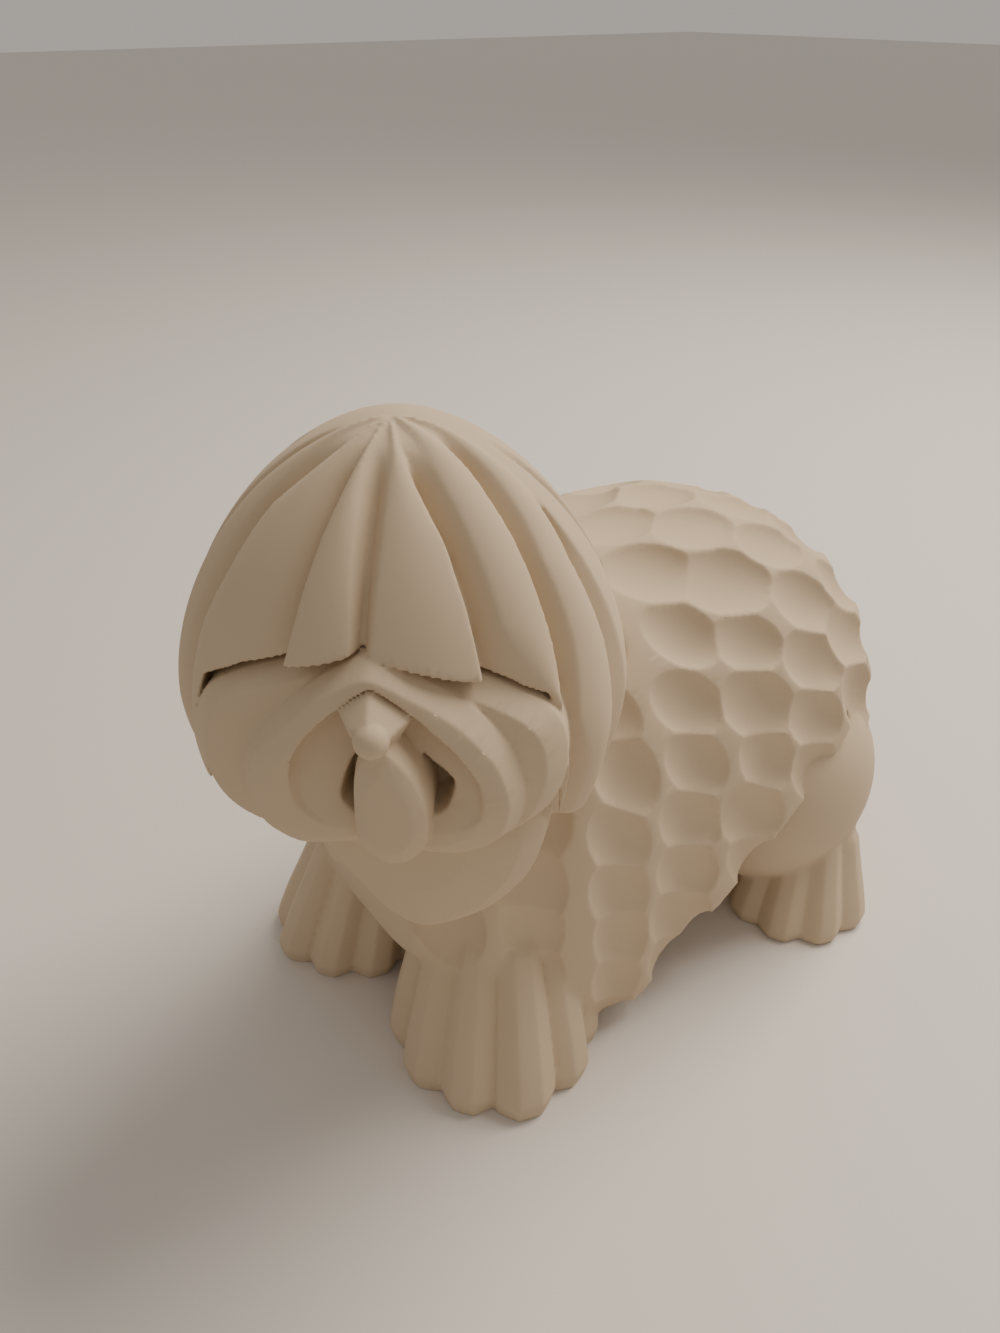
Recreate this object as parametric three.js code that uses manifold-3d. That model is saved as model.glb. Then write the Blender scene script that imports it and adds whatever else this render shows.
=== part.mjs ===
// Ceramic sheepdog figurine, carved by hand in stoneware and standing on its four feet.
// Millimetres. The dog faces -Y, its left side is +X, +Z is up and the feet stand on z = 0.
// The head is turned to the dog's own left. It is one piece of fired clay, so one solid.

import * as THREE from 'three';
import { mergeVertices } from 'three/addons/utils/BufferGeometryUtils.js';
import Module from 'manifold-3d';

const wasm = await Module();
wasm.setup();

const DEG = Math.PI / 180;

// Shift that centres the finished dog's box over the origin
const PLACE = [0.1, 7.7, 0];

// Head: a hood of hair on a core, both placed about the same centre
const HEAD_CENTRE = [7.1, -38.8, 66.5];
const HEAD_TURN = 47.5 * DEG;
const HOOD_HALF_WIDTH = 27.6;
const HOOD_HALF_DEPTH = 26.5;
const HOOD_RISE = 33.5;
const HOOD_DROP = 36;
const HOOD_FULLNESS = 1.75;
const HOOD_RIM_Z = 57.5;
const HOOD_RIM_TILT = 8;
const CROWN_LEAN = 3 * DEG;

// Locks of the hood: azimuths in degrees from the face, for the dog's left (+) and right (-)
const PARTING_HALF_WIDTH = 1.3;
const PARTING_DEPTH = 2.2;
const GROOVE_DEPTH = 2.6;
const LOCKS_LEFT = [{ inner: 0, outer: 32 }, { inner: 41, outer: 56 }, { inner: 64, outer: 77 }];
const LOCKS_RIGHT = [{ inner: 0, outer: 22 }, { inner: 39, outer: 56 }, { inner: 65, outer: 78 }];
const RIM_AZIMUTH = 85;
const BACK_GROOVES = 3;
const BACK_GROOVE_DEPTH = 1.8;
const CROWN_CAP = 10;
const LOCK_TAPER = [50, 73];

// Face, in the head's own axes: x to the dog's left, z above the floor, y forward is negative
const BROW = [[0, 82], [7, 80.2], [14, 78], [19, 75.4], [20.5, 71]];
const BROW_BACK = -14;
const CHEEKS = [
  [0, 81.5], [8, 79.2], [15, 76.8], [20.3, 73], [21.3, 66], [18.5, 59.5], [12, 56],
  [0, 54], [-12, 56], [-18.5, 59.5], [-21, 66], [-19.5, 73], [-15, 76.5], [-8, 79],
];
const MOUSTACHE = [
  [1, 82], [6, 79.8], [11, 76.6], [15.3, 71.8], [17.2, 66], [16, 60.5], [11.5, 57.6], [6, 57.4],
  [1.5, 59], [-4, 57.8], [-9, 57.4], [-13, 60], [-14.6, 65], [-13.6, 70], [-10, 74], [-4.5, 79],
];
const MOUTH_ARCH = [
  [1.4, 79.6], [5.5, 77], [9.6, 73.2], [12.6, 68.6], [13.2, 64], [9, 61],
  [2, 60.8], [-4, 61], [-7.8, 64.5], [-7.6, 70], [-5.6, 73.6], [-2, 77.2],
];
const MOUTH = [[2.2, 75], [6.5, 71.5], [10, 68.4], [9, 65], [5, 63], [0, 63], [-2.8, 65.5], [-1.6, 70]];
const TONGUE = [
  [2.4, 75.2], [5.6, 72.4], [7.4, 67.6], [7.3, 62.4], [5.6, 59.7],
  [3.4, 58.8], [1.2, 59.7], [-0.5, 62.4], [-0.6, 67.6], [0, 72.2],
];
const NOSE_BRIDGE = [[1.4, 79.4], [5.6, 76.6], [4, 73.6], [2, 72.8], [0, 73.6], [-2.1, 77]];
const NOSE_TIP = [2, -27.8, 75.6];
const NOSE_RADIUS = 1.9;
const BIB = [
  [4, 62], [15, 61], [19.4, 56], [17.6, 48], [13, 41.6], [8, 38.2],
  [3.5, 36.8], [-1, 39.5], [-5, 45], [-9, 52], [-11, 58], [-6, 62],
];
const RUFF_RADII = [19.5, 18];
const RUFF_X = 2;
const RUFF_LOCKS = 15;
const RUFF_GROOVE = 0.09;

// Body: stations along Y of half width, top and bottom
const COAT = [
  [-47, 5, 44, 30], [-44, 14, 54, 20], [-36, 22, 66, 9], [-22, 28, 74, -6], [-4, 28.5, 76, -8],
  [14, 29, 74.5, -6], [30, 28, 69, 0], [41, 24.5, 61, 4], [48, 17, 51, 10], [51.5, 6, 40, 22],
];
const COAT_SQUARENESS = 2.3;
const FLANK_SQUARENESS = 4.2;
const COAT_WAIST = 0.4;
const HEM_START = [-10.6, 6.4];
const HEM_END = [32.7, 40];
const HEM_FLOOR = 3;
const HEM_REAR = [[39, 29], [70, 27]];

// Fur: scoops of a gouge, in staggered rows that run back and down from the neck
const SCOOP_LENGTH = 20;
const SCOOP_WIDTH = 10.8;
const SCOOP_DEPTH = 1.8;
const SCOOP_ROWS = [-42, -31, -18, -5, 8, 21, 33, 42.5, 49.5];
const SCOOP_PITCH = 9.4;

// Legs: bells that stand on the floor, with toes cut by flutes
const FEET = [
  { x: 16.6, y: -32, radius: 16.6, height: 30, flutes: 10, lean: 0.3 },
  { x: -17.2, y: -37.3, radius: 15, height: 30, flutes: 10, lean: 0.3 },
  { x: 24, y: 28.5, radius: 12.7, height: 19, flutes: 9, lean: 0.1 },
  { x: -24, y: 28.5, radius: 12.7, height: 19, flutes: 9, lean: 0.1 },
];

const LEG_SET_BACK = 4;
const FLUTE_DEPTH = 0.12;

const STONEWARE = new THREE.MeshStandardMaterial({ color: 0xc9b591, roughness: 0.85, metalness: 0 });
STONEWARE.name = 'stoneware';

// A repeatable random number between -1 and 1 for the carver's uneven hand
function uneven(seed) {
  const value = Math.sin(seed * 127.1 + 11.7) * 43758.5453;
  return 2 * (value - Math.floor(value)) - 1;
}

function ramp(value, from, to) {
  return THREE.MathUtils.smoothstep(value, from, to);
}

// Solid from a geometry, and back again
function toSolid(geometry) {
  const bare = geometry.clone();
  bare.deleteAttribute('normal');
  bare.deleteAttribute('uv');
  const merged = mergeVertices(bare, 1e-5);
  const mesh = new wasm.Mesh({
    numProp: 3,
    vertProperties: new Float32Array(merged.attributes.position.array),
    triVerts: new Uint32Array(merged.index.array),
  });
  mesh.merge();
  return new wasm.Manifold(mesh);
}

function toGeometry(solid) {
  const mesh = solid.getMesh();
  const geometry = new THREE.BufferGeometry();
  geometry.setAttribute('position', new THREE.BufferAttribute(new Float32Array(mesh.vertProperties), 3));
  geometry.setIndex(new THREE.BufferAttribute(new Uint32Array(mesh.triVerts), 1));
  return geometry;
}

function unite(solids) {
  return solids.reduce((whole, solid) => whole.add(solid));
}

// Closed skin over rings of equal count, capped by a point at each end
function skin(rings) {
  const count = rings[0].length;
  const middle = ring => ring.reduce((sum, p) => sum.add(p), new THREE.Vector3()).divideScalar(count);
  const points = [...rings.flat(), middle(rings[0]), middle(rings[rings.length - 1])];
  const index = [];
  for (let i = 0; i < rings.length - 1; i++) {
    for (let j = 0; j < count; j++) {
      const k = (j + 1) % count;
      const [a, b, c, d] = [i * count + j, i * count + k, (i + 1) * count + j, (i + 1) * count + k];
      index.push(a, b, c, b, d, c);
    }
  }
  const last = (rings.length - 1) * count;
  for (let j = 0; j < count; j++) {
    const k = (j + 1) % count;
    index.push(points.length - 2, k, j);
    index.push(points.length - 1, last + j, last + k);
  }
  const geometry = new THREE.BufferGeometry().setFromPoints(points);
  geometry.setIndex(index);
  return facingOut(geometry);
}

// Turns every triangle over when the skin encloses a negative volume
function facingOut(geometry) {
  const p = geometry.attributes.position;
  const index = geometry.index.array;
  const [a, b, c] = [new THREE.Vector3(), new THREE.Vector3(), new THREE.Vector3()];
  let volume = 0;
  for (let i = 0; i < index.length; i += 3) {
    a.fromBufferAttribute(p, index[i]);
    b.fromBufferAttribute(p, index[i + 1]);
    c.fromBufferAttribute(p, index[i + 2]);
    volume += a.dot(b.cross(c));
  }
  if (volume < 0) {
    for (let i = 0; i < index.length; i += 3) {
      [index[i], index[i + 1]] = [index[i + 1], index[i]];
    }
  }
  return geometry;
}

function ellipsoid(centre, radii, across = 20, along = 14) {
  const geometry = new THREE.SphereGeometry(1, across, along);
  geometry.scale(...radii);
  geometry.translate(...centre);
  return toSolid(geometry);
}

// Box between two corners
function block(low, high) {
  const size = high.map((value, i) => value - low[i]);
  const geometry = new THREE.BoxGeometry(...size);
  geometry.translate(...low.map((value, i) => value + size[i] / 2));
  return toSolid(geometry);
}

// Smooth closed outline in the head's x and z through a few corner points
function outline(points, count, roundness = 0.5) {
  const corners = points.map(([x, z]) => new THREE.Vector3(x, 0, z));
  const curve = new THREE.CatmullRomCurve3(corners, true, 'catmullrom', roundness);
  return curve.getPoints(count).slice(0, count);
}

// Cushion on an outline: each station shrinks the outline towards the middle at its own depth
function cushion(edge, middle, stations, lean = 0) {
  const rings = stations.map(([scale, y]) => edge.map(p => {
    const [x, z] = [(p.x - middle[0]) * scale, (p.z - middle[1]) * scale];
    return new THREE.Vector3(middle[0] + x, y + lean * z, middle[1] + z);
  }));
  return toSolid(skin(rings));
}

// Distance from the head's centre to the plain hood in a direction
function hoodRadius(direction) {
  const level = Math.hypot(direction.x / HOOD_HALF_WIDTH, direction.y / HOOD_HALF_DEPTH);
  const upright = Math.abs(direction.z) / (direction.z > 0 ? HOOD_RISE : HOOD_DROP);
  return (level ** HOOD_FULLNESS + upright ** HOOD_FULLNESS) ** (-1 / HOOD_FULLNESS);
}

// Point of the hood: polar angle from the crown, azimuth from the face, depth below the surface
function hoodPoint(polar, azimuth, depth) {
  const [t, a] = [polar * DEG, azimuth * DEG];
  const direction = new THREE.Vector3(Math.sin(t) * Math.sin(a), -Math.sin(t) * Math.cos(a), Math.cos(t));
  direction.applyAxisAngle(new THREE.Vector3(1, 0, 0), CROWN_LEAN);
  const point = direction.clone().multiplyScalar(hoodRadius(direction) - depth);
  point.z += HEAD_CENTRE[2];
  return point;
}

// Azimuth and depth of each carved line on one side of the head at a polar angle
function lockLines(polar, locks) {
  const depth = GROOVE_DEPTH * ramp(polar, CROWN_CAP, CROWN_CAP + 10);
  const parting = PARTING_HALF_WIDTH / (31 * Math.sin(polar * DEG)) / DEG;
  const taper = 11 * ramp(polar, ...LOCK_TAPER);
  const lines = [];
  locks.forEach((lock, i) => {
    const start = i === 0 ? Math.min(parting, lock.outer / 2) : lock.inner + (i === 1 ? taper : 0);
    const end = lock.outer - (i === 1 ? taper / 3 : 0);
    lines.push([start, 0], [(start + end) / 2, -0.35], [end, 0], [end + 1.6, depth]);
  });
  lines.push([RIM_AZIMUTH, 0]);
  const step = (180 - RIM_AZIMUTH) / (BACK_GROOVES + 0.5);
  for (let i = 0; i < BACK_GROOVES; i++) {
    const middle = RIM_AZIMUTH + step * (i + 0.7);
    const cut = BACK_GROOVE_DEPTH * ramp(polar, CROWN_CAP + 6, CROWN_CAP + 26);
    lines.push([middle - 4, 0], [middle, cut], [middle + 4, 0]);
  }
  return lines;
}

function hoodRing(polar) {
  const left = lockLines(polar, LOCKS_LEFT);
  const right = lockLines(polar, LOCKS_RIGHT);
  const parting = PARTING_DEPTH * ramp(polar, CROWN_CAP, CROWN_CAP + 10);
  return [
    hoodPoint(polar, 0, parting),
    ...left.map(([azimuth, depth]) => hoodPoint(polar, azimuth, depth)),
    hoodPoint(polar, 180, 0),
    ...right.reverse().map(([azimuth, depth]) => hoodPoint(polar, -azimuth, depth)),
  ];
}

function hood() {
  const rings = [];
  for (const polar of [4, 10, 15, 21, 28, 36, 44, 52, 60, 68, 76, 85, 94, 104, 116, 140]) {
    rings.push(hoodRing(polar));
  }
  const whole = toSolid(skin(rings));
  const under = block([-60, -60, -80], [60, 60, 0]).rotate([0, HOOD_RIM_TILT, 0]);
  return whole.subtract(under.translate([0, 0, HOOD_RIM_Z])).subtract(browCut());
}

// The gull-wing brow: everything in front of the face below it is cut away
function browCut() {
  const left = BROW.slice(1).reverse().map(([x, z]) => [-x, z]);
  const shape = new THREE.Shape();
  [[-20.5, 40], ...left, ...BROW, [20.5, 40]].forEach(([x, z]) => {
    if (shape.curves.length === 0 && shape.currentPoint.lengthSq() === 0) {
      shape.moveTo(x, z);
    } else {
      shape.lineTo(x, z);
    }
  });
  const geometry = new THREE.ExtrudeGeometry(shape, { depth: 40, bevelEnabled: false });
  geometry.rotateX(Math.PI / 2);
  geometry.translate(0, BROW_BACK, 0);
  return toSolid(geometry);
}

// Layers of the face, from the brow outwards
function cheeks() {
  return cushion(outline(CHEEKS, 28), [0, 66], [[1, -6], [1, -18], [0.9, -21], [0.5, -22.5]]);
}

function moustache() {
  const stations = [[1, -10], [1, -21.8], [0.9, -24.6], [0.72, -25.6], [0.3, -26]];
  return cushion(outline(MOUSTACHE, 34, 0.4), [1.5, 67], stations);
}

// Hollow around the mouth, deep under the nose and running out at the chin
function mouthArch() {
  return cushion(outline(MOUTH_ARCH, 24, 0.35), [2, 69], [[1.02, -36], [1, -25.2], [0.92, -24.2]], 0.22);
}

function mouth() {
  return cushion(outline(MOUTH, 18, 0.3), [3, 68], [[1.04, -30], [0.9, -20]]);
}

function tongue() {
  return cushion(outline(TONGUE, 20), [3.4, 66], [[0.9, -18], [1, -26], [0.93, -28], [0.6, -29]]);
}

// Four-sided bridge of the nose with the nose itself at its tip
function noseBlock() {
  const bridge = cushion(outline(NOSE_BRIDGE, 12, 0.1), [1.9, 75.6], [[1.1, -19], [1, -24.8], [0.55, -27.8]]);
  return bridge.add(ellipsoid(NOSE_TIP, [NOSE_RADIUS, NOSE_RADIUS, NOSE_RADIUS], 8, 6));
}

// Beard below the chin, a bib with a free lower edge
function bib() {
  const stations = [[0.9, -2], [1, -13], [0.97, -16], [0.8, -18.6], [0.4, -20]];
  return cushion(outline(BIB, 28, 0.4), [4, 54], stations);
}

function face() {
  const layers = unite([cheeks(), moustache().subtract(mouthArch()).subtract(mouth())]);
  return unite([layers.subtract(mouth()), tongue(), noseBlock(), bib()]);
}

// Ruff of hair below the hood, in upright locks that join at the throat
function ruff() {
  const stations = [[0.3, 33], [0.62, 36], [0.84, 43], [0.97, 51], [1, 60], [0.9, 70]];
  const rings = stations.map(([scale, z]) => Array.from({ length: RUFF_LOCKS * 2 }, (_, i) => {
    const angle = (i + 0.5) / RUFF_LOCKS * Math.PI;
    const reach = scale - (i % 2) * RUFF_GROOVE;
    const [x, y] = [RUFF_RADII[0] * reach * Math.cos(angle), RUFF_RADII[1] * reach * Math.sin(angle)];
    return new THREE.Vector3(RUFF_X + x, y, z);
  }));
  return toSolid(skin(rings));
}

// The head in its own axes, then turned and carried to its place
function head() {
  const whole = unite([hood(), ruff(), face()]);
  const turn = HEAD_TURN / DEG;
  return whole.rotate([0, 0, turn]).translate([HEAD_CENTRE[0], HEAD_CENTRE[1], 0]);
}

// Value of one coat column at a place along the body
function coatValue(y, column) {
  const knots = COAT.map(station => station[0]);
  let i = knots.findIndex(knot => knot >= y);
  i = i < 0 ? COAT.length - 1 : Math.max(i, 1);
  const t = THREE.MathUtils.clamp((y - knots[i - 1]) / (knots[i] - knots[i - 1]), 0, 1);
  const at = k => COAT[THREE.MathUtils.clamp(k, 0, COAT.length - 1)][column];
  const slope = k => (at(k + 1) - at(k - 1)) / 2;
  const [t2, t3] = [t * t, t * t * t];
  return (2 * t3 - 3 * t2 + 1) * at(i - 1) + (t3 - 2 * t2 + t) * slope(i - 1)
    + (3 * t2 - 2 * t3) * at(i) + (t3 - t2) * slope(i);
}

// Point of the coat at a place along the body and an angle from the back's ridge
function coatPoint(y, angle) {
  const [half, top, bottom] = [1, 2, 3].map(column => coatValue(y, column));
  const waist = bottom + (top - bottom) * COAT_WAIST;
  const [s, c] = [Math.sin(angle), Math.cos(angle)];
  const power = 2 / (c > 0 ? COAT_SQUARENESS : FLANK_SQUARENESS);
  const side = Math.sign(s) * Math.abs(s) ** power;
  const rise = Math.sign(c) * Math.abs(c) ** power;
  return new THREE.Vector3(half * side, y, waist + (rise > 0 ? top - waist : waist - bottom) * rise);
}

function coatNormal(y, angle) {
  const along = coatPoint(y + 0.5, angle).sub(coatPoint(y - 0.5, angle));
  const around = coatPoint(y, angle + 0.02).sub(coatPoint(y, angle - 0.02));
  return along.cross(around).normalize().negate();
}

function coat() {
  const rings = [];
  const [from, to] = [COAT[0][0], COAT[COAT.length - 1][0]];
  const steps = 14;
  for (let i = 0; i <= steps; i++) {
    const y = (from + to) / 2 - Math.cos(Math.PI * i / steps) * (to - from) / 2;
    rings.push(Array.from({ length: 24 }, (_, j) => coatPoint(y, j / 12 * Math.PI)));
  }
  const channel = ellipsoid([0, -10, 0], [8, 60, 12], 16, 12);
  return unite([toSolid(skin(rings))]).subtract(scoops()).subtract(belowHem()).subtract(channel);
}

// Height of the coat's hem along the body: level, then slanting up, then lower again at the rump
function hemHeight(y) {
  const slope = (HEM_END[1] - HEM_START[1]) / (HEM_END[0] - HEM_START[0]);
  const slant = Math.max(HEM_FLOOR, HEM_START[1] + (y - HEM_START[0]) * slope);
  return y > HEM_REAR[0][0] ? HEM_REAR[0][1] : Math.min(slant, HEM_END[1]);
}

// Straight slanting cut that frees the coat's hem over the haunch and turns down again at the rump
function belowHem() {
  const slope = (HEM_END[1] - HEM_START[1]) / (HEM_END[0] - HEM_START[0]);
  const shape = new THREE.Shape();
  shape.moveTo(-70, -20);
  shape.lineTo(-70, HEM_FLOOR);
  shape.lineTo(HEM_START[0] - (HEM_START[1] - HEM_FLOOR) / slope, HEM_FLOOR);
  shape.lineTo(...HEM_END);
  HEM_REAR.forEach(corner => shape.lineTo(...corner));
  shape.lineTo(70, -20);
  const geometry = new THREE.ExtrudeGeometry(shape, { depth: 120, bevelEnabled: false });
  geometry.translate(0, 0, -60);
  geometry.rotateX(Math.PI / 2);
  geometry.rotateZ(Math.PI / 2);
  return toSolid(geometry);
}

// One gouge mark: a long ellipsoid laid along the hair and dug deeper at its rear end
function scoop(y, angle, seed) {
  const normal = coatNormal(y, angle);
  const around = Math.abs(angle) / (Math.PI / 2);
  const front = 1 - ramp(y, -34, 10);
  const fall = (18 + 34 * Math.min(around, 1) + 26 * front + 7 * uneven(seed)) * DEG;
  const back = new THREE.Vector3(0, Math.cos(fall), -Math.sin(fall));
  const run = back.addScaledVector(normal, -back.dot(normal)).normalize();
  run.addScaledVector(normal, -0.1).normalize();
  const cross = new THREE.Vector3().crossVectors(normal, run).normalize();
  const up = new THREE.Vector3().crossVectors(run, cross);
  const size = 1 + 0.12 * uneven(seed + 3);
  const geometry = new THREE.SphereGeometry(1, 5, 4);
  geometry.rotateZ(Math.PI / 2);
  geometry.scale(SCOOP_LENGTH / 2 * size, SCOOP_WIDTH / 2 * size, SCOOP_DEPTH * 1.7);
  geometry.applyMatrix4(new THREE.Matrix4().makeBasis(run, cross, up));
  const centre = coatPoint(y, angle).addScaledVector(normal, SCOOP_DEPTH * 0.7);
  geometry.translate(centre.x, centre.y, centre.z);
  return toSolid(geometry);
}

// Angle of the coat's section at a distance from the back's ridge, measured over the surface
function coatAngle(y, distance) {
  const step = 0.02;
  let angle = 0;
  for (let covered = 0; covered < Math.abs(distance) && angle < Math.PI; angle += step) {
    covered += coatPoint(y, angle).distanceTo(coatPoint(y, angle + step));
  }
  return angle * Math.sign(distance);
}

function scoops() {
  const cuts = [];
  SCOOP_ROWS.forEach((y, row) => {
    for (let i = -11; i <= 11; i++) {
      const seed = row * 31 + i;
      const place = y + 1.4 * uneven(seed);
      const angle = coatAngle(place, (i + (row % 2) / 2) * SCOOP_PITCH);
      if (Math.abs(angle) < Math.PI * 0.74 && coatPoint(place, angle).z > hemHeight(place) - 3) {
        cuts.push(scoop(place, angle, seed));
      }
    }
  });
  return unite(cuts);
}

// Belly and haunches under the coat, narrower than its hem
function underbody() {
  const belly = ellipsoid([0, 6, 36], [20, 38, 22], 12, 8);
  const rump = ellipsoid([0, 30, 32], [25, 17.5, 19], 12, 8);
  const haunches = [-1, 1].map(side => ellipsoid([15 * side, 29, 23], [16.2, 18.5, 20], 14, 10));
  return unite([belly, rump, ...haunches]);
}

// One leg: a bell whose lower edge is scalloped into toes
function foot({ x, y, radius, height, flutes, lean }) {
  const stations = [[0.5, 0], [0.95, 0], [1, 0.09], [0.94, 0.26], [0.82, 0.52], [0.7, 0.8], [0.35, 1.1]];
  const rings = stations.map(([scale, level], row) => {
    const ring = [];
    for (let i = 0; i < flutes * 3; i++) {
      const angle = (i + 0.25 * uneven(i)) / (flutes * 3) * 2 * Math.PI;
      const groove = (i % 3 ? 0 : FLUTE_DEPTH) * (row === 0 ? 0 : 1 - 0.4 * level);
      const reach = radius * (scale - groove) * (1 + 0.04 * uneven(Math.floor(i / 3) + x));
      const centre = [x * (1 - lean * level), y + LEG_SET_BACK * level];
      ring.push(new THREE.Vector3(centre[0] + reach * Math.cos(angle), centre[1] + reach * Math.sin(angle),
        height * level));
    }
    return ring;
  });
  return toSolid(skin(rings));
}

const floorCut = block([-90, -90, -30], [90, 90, 0]);
const dog = unite([coat(), underbody(), ...FEET.map(foot), head()]).subtract(floorCut).translate(PLACE);

const sheepdog = new THREE.Mesh(toGeometry(dog), STONEWARE);
sheepdog.name = 'sheepdog';

const part = new THREE.Group();
part.name = 'ceramic_sheepdog';
part.add(sheepdog);

export default part;
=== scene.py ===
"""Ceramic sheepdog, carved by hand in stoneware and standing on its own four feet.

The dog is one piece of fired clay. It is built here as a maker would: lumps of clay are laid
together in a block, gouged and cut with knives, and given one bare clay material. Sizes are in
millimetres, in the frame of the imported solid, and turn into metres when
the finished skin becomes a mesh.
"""
import logging
import math
from dataclasses import dataclass, field
from enum import Enum
from typing import Callable, Optional, Sequence, Union

import bpy
import numpy as np
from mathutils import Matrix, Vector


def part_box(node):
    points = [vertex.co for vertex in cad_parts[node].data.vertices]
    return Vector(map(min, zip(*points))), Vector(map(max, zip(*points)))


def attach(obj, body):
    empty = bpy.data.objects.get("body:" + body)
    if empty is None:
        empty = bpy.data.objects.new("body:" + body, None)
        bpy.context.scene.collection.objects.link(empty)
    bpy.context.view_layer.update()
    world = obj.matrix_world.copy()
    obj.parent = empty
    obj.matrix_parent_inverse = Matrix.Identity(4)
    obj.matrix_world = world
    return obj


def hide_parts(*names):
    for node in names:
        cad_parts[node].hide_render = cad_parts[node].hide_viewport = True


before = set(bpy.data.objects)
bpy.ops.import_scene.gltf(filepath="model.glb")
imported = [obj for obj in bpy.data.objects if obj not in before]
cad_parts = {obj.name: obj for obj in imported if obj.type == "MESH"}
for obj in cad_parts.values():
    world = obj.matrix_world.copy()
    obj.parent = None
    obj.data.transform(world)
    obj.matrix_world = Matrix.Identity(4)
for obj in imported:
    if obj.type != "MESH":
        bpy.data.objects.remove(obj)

import openvdb
from mathutils import Matrix, Vector

LOG = logging.getLogger("sheepdog")
MM = 0.001
PIECE = "sheepdog_ceramic"
NODE = "sheepdog"
Array = np.ndarray
Number = Union[float, Array]


# Small mathematics

def ramp(value: Number, low: float, high: float) -> Number:
    """Smooth rise from 0 at low to 1 at high."""
    t = np.clip((value - low) / (high - low), 0.0, 1.0)
    return t * t * (3.0 - 2.0 * t)


def uneven(seed: float) -> float:
    """Repeatable number from -1 to 1 for the carver's uneven hand."""
    value = math.sin(seed * 127.1 + 11.7) * 43758.5453
    return 2.0 * (value - math.floor(value)) - 1.0


def unit(vectors: Array) -> Array:
    """Vectors of length one along the last axis."""
    return vectors / np.maximum(np.linalg.norm(vectors, axis=-1, keepdims=True), 1e-12)


def turned(points: Array, degrees: float) -> Array:
    """Points turned about the upright axis."""
    angle = math.radians(degrees)
    cosine, sine = math.cos(angle), math.sin(angle)
    x, y, z = points[..., 0], points[..., 1], points[..., 2]
    return np.stack([x * cosine - y * sine, x * sine + y * cosine, z], axis=-1)


def leaned(points: Array, degrees: float) -> Array:
    """Points turned about the X axis."""
    angle = math.radians(degrees)
    cosine, sine = math.cos(angle), math.sin(angle)
    x, y, z = points[..., 0], points[..., 1], points[..., 2]
    return np.stack([x, y * cosine - z * sine, y * sine + z * cosine], axis=-1)


class Grain:
    """Smooth repeatable noise in space."""

    def __init__(self, seed: int, cells: int = 24) -> None:
        """Fills the lattice.

        Args:
            seed: Fixed seed of the random numbers.
            cells: Cells along each side before the noise repeats.
        """
        self.cells = cells
        self.table = np.random.default_rng(seed).uniform(-1.0, 1.0, (cells,) * 3)

    def at(self, points: Array, size: float) -> Array:
        """Noise from -1 to 1.

        Args:
            points: Places, in millimetres.
            size: Width of one lump of the noise, in millimetres.

        Returns:
            One value for each point.
        """
        place = points / size
        base = np.floor(place).astype(int)
        part = place - base
        part = part * part * (3.0 - 2.0 * part)
        total = np.zeros(points.shape[:-1])
        for corner in range(8):
            bits = np.array([corner & 1, corner >> 1 & 1, corner >> 2 & 1])
            weight = np.prod(np.where(bits, part, 1.0 - part), axis=-1)
            index = (base + bits) % self.cells
            total += weight * self.table[index[..., 0], index[..., 1], index[..., 2]]
        return total


# Skins: closed surfaces of single forms

@dataclass
class Skin:
    """Closed surface with points in millimetres."""

    points: Array
    quads: Array
    triangles: Array = field(default_factory=lambda: np.zeros((0, 3), np.uint32))

    def moved(self, shift: Sequence[float]) -> "Skin":
        """The same skin at another place."""
        return Skin(self.points + np.array(shift), self.quads, self.triangles)


def ring_skin(rings: Array) -> Skin:
    """Skin over rings of equal count, closed by a point at each end.

    Args:
        rings: Array of rings, points in a ring, and three coordinates.

    Returns:
        The closed skin.
    """
    rows, count = rings.shape[:2]
    index = np.arange(rows * count).reshape(rows, count)
    after = np.roll(index, -1, axis=1)
    quads = np.stack([index[:-1], after[:-1], after[1:], index[1:]], axis=-1).reshape(-1, 4)
    ends = rings[[0, -1]].mean(axis=1)
    first, last = rows * count, rows * count + 1
    low = np.stack([np.full(count, first), after[0], index[0]], axis=-1)
    high = np.stack([np.full(count, last), index[-1], after[-1]], axis=-1)
    points = np.concatenate([rings.reshape(-1, 3), ends])
    return Skin(points, quads.astype(np.uint32), np.concatenate([low, high]).astype(np.uint32))


def ellipsoid(centre: Sequence[float], radii: Sequence[float], around: int = 96) -> Skin:
    """Ellipsoid with upright poles."""
    polar = np.linspace(0.02, math.pi - 0.02, around // 2)[:, None]
    turn = np.linspace(0.0, 2.0 * math.pi, around, endpoint=False)[None, :]
    ball = np.stack([np.sin(polar) * np.cos(turn), np.sin(polar) * np.sin(turn),
                     np.cos(polar) * np.ones_like(turn)], axis=-1)
    return ring_skin(ball * np.array(radii) + np.array(centre))


def outline(corners: Sequence[Sequence[float]], count: int, roundness: float = 0.5) -> Array:
    """Smooth closed line through corner points.

    Args:
        corners: Corner points in a plane.
        count: Points wanted.
        roundness: Share of the chord that bends the line at a corner.

    Returns:
        The line's points.
    """
    knots = np.array(corners, float)
    place = np.linspace(0.0, len(knots), count, endpoint=False)
    base = place.astype(int)
    t = (place - base)[:, None]

    def knot(step: int) -> Array:
        """Corner points that many steps on."""
        return knots[(base + step) % len(knots)]

    start, end = knot(0), knot(1)
    leave = roundness * (end - knot(-1))
    arrive = roundness * (knot(2) - start)
    return ((2 * t**3 - 3 * t**2 + 1) * start + (t**3 - 2 * t**2 + t) * leave
            + (3 * t**2 - 2 * t**3) * end + (t**3 - t**2) * arrive)


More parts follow.
